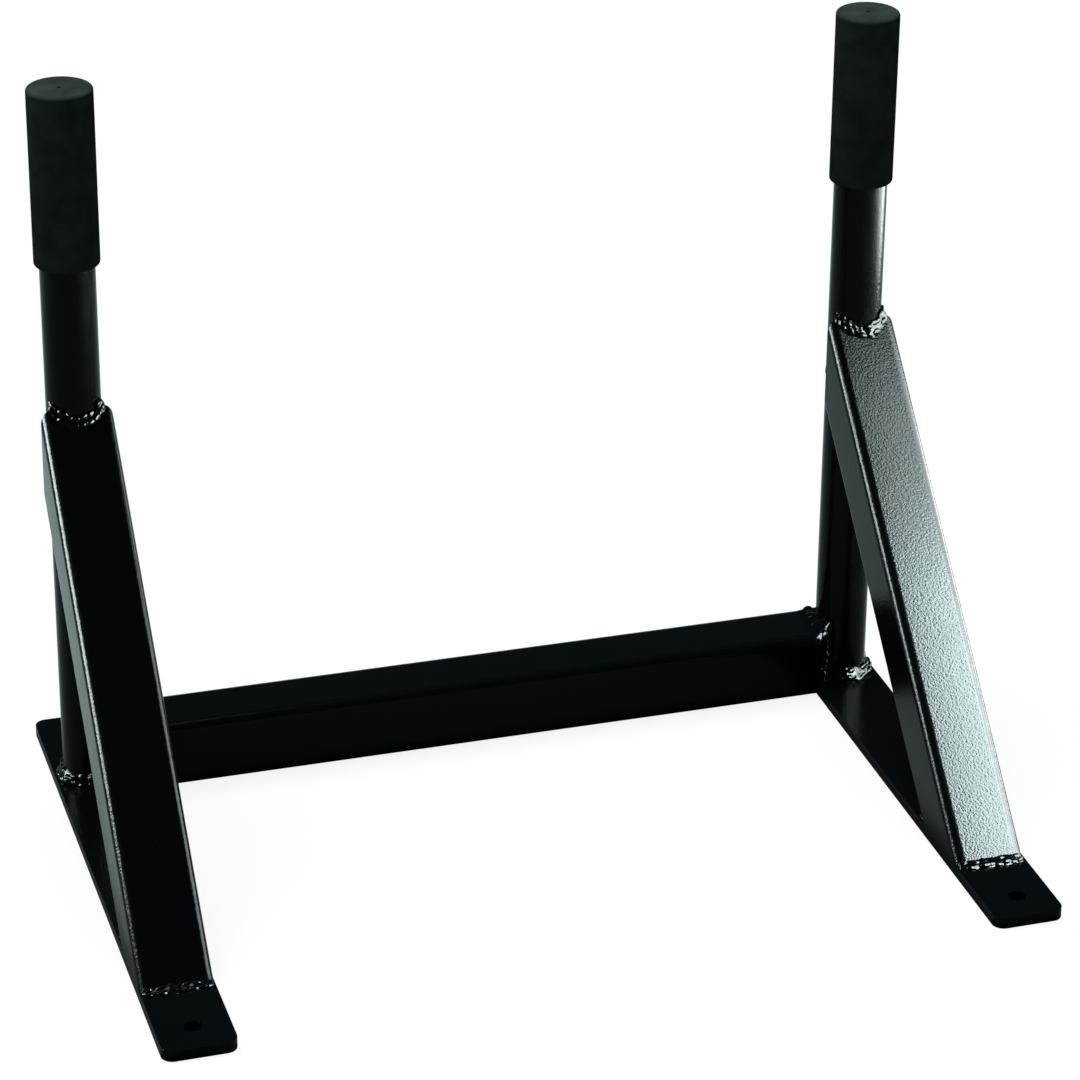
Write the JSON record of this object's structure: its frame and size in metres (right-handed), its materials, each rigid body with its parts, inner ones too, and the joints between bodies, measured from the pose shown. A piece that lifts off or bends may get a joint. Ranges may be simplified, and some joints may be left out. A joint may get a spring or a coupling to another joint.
{
  "type": "wall-mounted dip station",
  "caption": "Welded steel dip station for a wall: flat wall plates, round handles with rubber grips, diagonal square-tube braces and a square cross tube.",
  "frame": {"origin": "in the wall plane, midway between the two wall plates and at the middle of their length", "axes": "+X along the cross tube, +Y along the wall plates towards the end with the handles, which is up on the wall or down as the user mounts it, +Z out of the wall along the handles; the part is stored lying on its wall plates, as the picture shows it"},
  "size_m": [0.62, 0.45, 0.526],
  "materials": {
    "painted_steel": "gloss black paint over steel",
    "painted_weld": "gloss black paint over rippled weld beads",
    "grip_rubber": "matte black moulded rubber"
  },
  "bodies": {
    "root": {"wall_plate_left": "painted_steel", "wall_plate_right": "painted_steel", "handle_tube_left": "painted_steel", "handle_tube_right": "painted_steel", "brace_tube_left": "painted_steel", "brace_tube_right": "painted_steel", "cross_tube": "painted_steel", "rubber_grip_left": "grip_rubber", "rubber_grip_right": "grip_rubber", "handle_base_weld_left": "painted_weld", "handle_base_weld_right": "painted_weld", "cross_tube_weld_left": "painted_weld", "cross_tube_weld_right": "painted_weld", "brace_top_weld_left": "painted_weld", "brace_top_weld_right": "painted_weld", "brace_under_weld_left": "painted_weld", "brace_under_weld_right": "painted_weld", "brace_inner_weld_left": "painted_weld", "brace_inner_weld_right": "painted_weld", "brace_outer_weld_left": "painted_weld", "brace_outer_weld_right": "painted_weld", "brace_toe_weld_left": "painted_weld", "brace_toe_weld_right": "painted_weld", "brace_heel_weld_left": "painted_weld", "brace_heel_weld_right": "painted_weld"}
  },
  "joints": []
}
